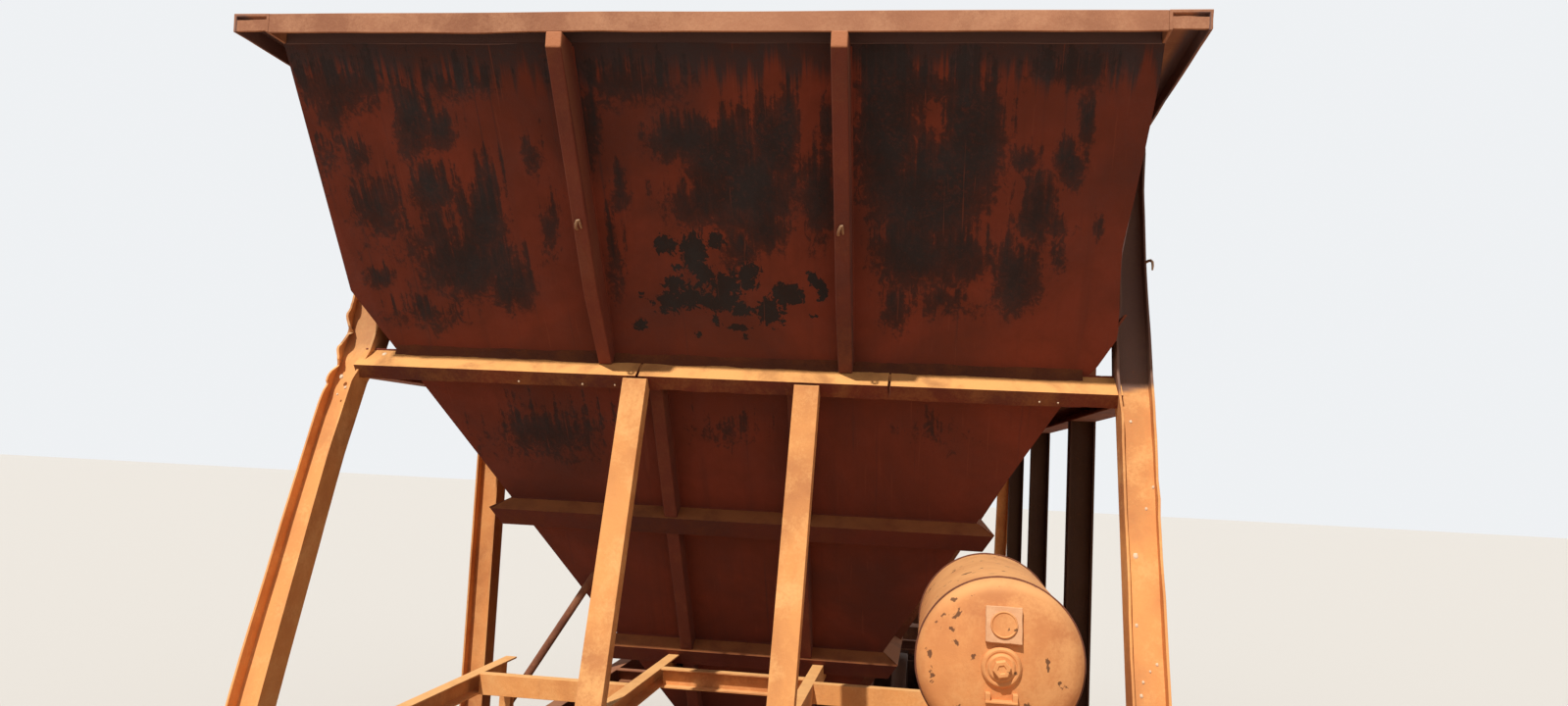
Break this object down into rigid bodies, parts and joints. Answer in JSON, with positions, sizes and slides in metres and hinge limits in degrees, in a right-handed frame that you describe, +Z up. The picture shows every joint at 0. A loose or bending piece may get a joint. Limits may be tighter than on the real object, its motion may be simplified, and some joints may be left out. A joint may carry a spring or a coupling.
{
  "type": "open hopper wagon",
  "caption": "Open-topped rail hopper wagon with sloping ends and sides, bottom discharge doors, bogies, an air reservoir at one end and automatic couplers.",
  "frame": {"origin": "on the ground plane under the middle of the wagon", "axes": "+X along the wagon towards the end with the air reservoir, +Y to the reservoir's side, +Z up"},
  "size_m": [9.264, 2.95, 3.75],
  "materials": {
    "hopper_paint": "matt, rusted",
    "rib_paint": "matt, rusted and dusty",
    "frame_paint": "matt, rusted",
    "reservoir_paint": "matt, dusty",
    "door_paint": "matt, worn",
    "bogie_casting": "matt, rusted",
    "coupler_casting": "matt, rusted",
    "spring_steel": "matt, rusted",
    "axle_steel": "matt, rusted",
    "wheel_steel": "worn, bright on the tread"
  },
  "bodies": {
    "wagon_body": {"air_reservoir": "reservoir_paint", "body_bolsters": "frame_paint", "body_side_bearers": "frame_paint", "brake_cylinder": "frame_paint", "centre_plates": "frame_paint", "centre_sills": "frame_paint", "chute_ends": "hopper_paint", "chute_sides": "hopper_paint", "corner_posts": "rib_paint", "coupler_heads": "coupler_casting", "coupler_knuckles": "coupler_casting", "cross_bearers": "frame_paint", "door_hinge_lugs": "door_paint", "draft_gear": "frame_paint", "end_braces": "frame_paint", "end_posts": "rib_paint", "end_sheet_front": "hopper_paint", "end_sheet_rear": "hopper_paint", "end_sills": "frame_paint", "end_stiffeners": "rib_paint", "end_struts": "frame_paint", "hopper_rings_end": "rib_paint", "hopper_rings_side": "rib_paint", "reservoir_rack": "frame_paint", "reservoir_saddles": "frame_paint", "rim_ends": "rib_paint", "rim_sides": "rib_paint", "side_posts": "rib_paint", "side_sheet_left": "hopper_paint", "side_sheet_right": "hopper_paint", "side_sills": "frame_paint", "side_slope_left": "hopper_paint", "side_slope_right": "hopper_paint", "side_stiffeners": "rib_paint", "slope_stiffeners": "rib_paint", "spare_rack": "frame_paint", "strut_links": "frame_paint", "waist_beams": "rib_paint", "waist_ledges": "rib_paint"},
    "door_left": {"door_left": "door_paint"},
    "door_right": {"door_right": "door_paint"},
    "bogie_front": {"bogie_front_axle_boxes": "bogie_casting", "bogie_front_bolster": "bogie_casting", "bogie_front_brake_beams": "bogie_casting", "bogie_front_side_frames": "bogie_casting", "bogie_front_springs": "spring_steel"},
    "bogie_rear": {"bogie_rear_axle_boxes": "bogie_casting", "bogie_rear_bolster": "bogie_casting", "bogie_rear_brake_beams": "bogie_casting", "bogie_rear_side_frames": "bogie_casting", "bogie_rear_springs": "spring_steel"},
    "wheelset_front_outer": {"axle_front_outer": "axle_steel", "wheels_front_outer": "wheel_steel"},
    "wheelset_front_inner": {"axle_front_inner": "axle_steel", "wheels_front_inner": "wheel_steel"},
    "wheelset_rear_outer": {"axle_rear_outer": "axle_steel", "wheels_rear_outer": "wheel_steel"},
    "wheelset_rear_inner": {"axle_rear_inner": "axle_steel", "wheels_rear_inner": "wheel_steel"}
  },
  "joints": [
    {"name": "bogie_front_swivel", "type": "hinge", "parent": "wagon_body", "child": "bogie_front", "pos_m": [2.95, 0, 0.712], "axis": [0, 0, 1], "range_deg": [-4, 4]},
    {"name": "bogie_rear_swivel", "type": "hinge", "parent": "wagon_body", "child": "bogie_rear", "pos_m": [-2.95, 0, 0.712], "axis": [0, 0, 1], "range_deg": [-4, 4]},
    {"name": "door_right_swing", "type": "hinge", "parent": "wagon_body", "child": "door_right", "pos_m": [0, 0.352, 0.406], "axis": [1, 0, 0], "range_deg": [0, 45]},
    {"name": "door_left_swing", "type": "hinge", "parent": "wagon_body", "child": "door_left", "pos_m": [0, -0.352, 0.406], "axis": [-1, 0, 0], "range_deg": [0, 45]},
    {"name": "wheelset_front_outer_roll", "type": "hinge", "parent": "bogie_front", "child": "wheelset_front_outer", "pos_m": [3.7375, 0, 0.447], "axis": [0, 1, 0], "continuous": true},
    {"name": "wheelset_front_inner_roll", "type": "hinge", "parent": "bogie_front", "child": "wheelset_front_inner", "pos_m": [2.1625, 0, 0.447], "axis": [0, 1, 0], "continuous": true},
    {"name": "wheelset_rear_outer_roll", "type": "hinge", "parent": "bogie_rear", "child": "wheelset_rear_outer", "pos_m": [-3.7375, 0, 0.447], "axis": [0, 1, 0], "continuous": true},
    {"name": "wheelset_rear_inner_roll", "type": "hinge", "parent": "bogie_rear", "child": "wheelset_rear_inner", "pos_m": [-2.1625, 0, 0.447], "axis": [0, 1, 0], "continuous": true}
  ]
}
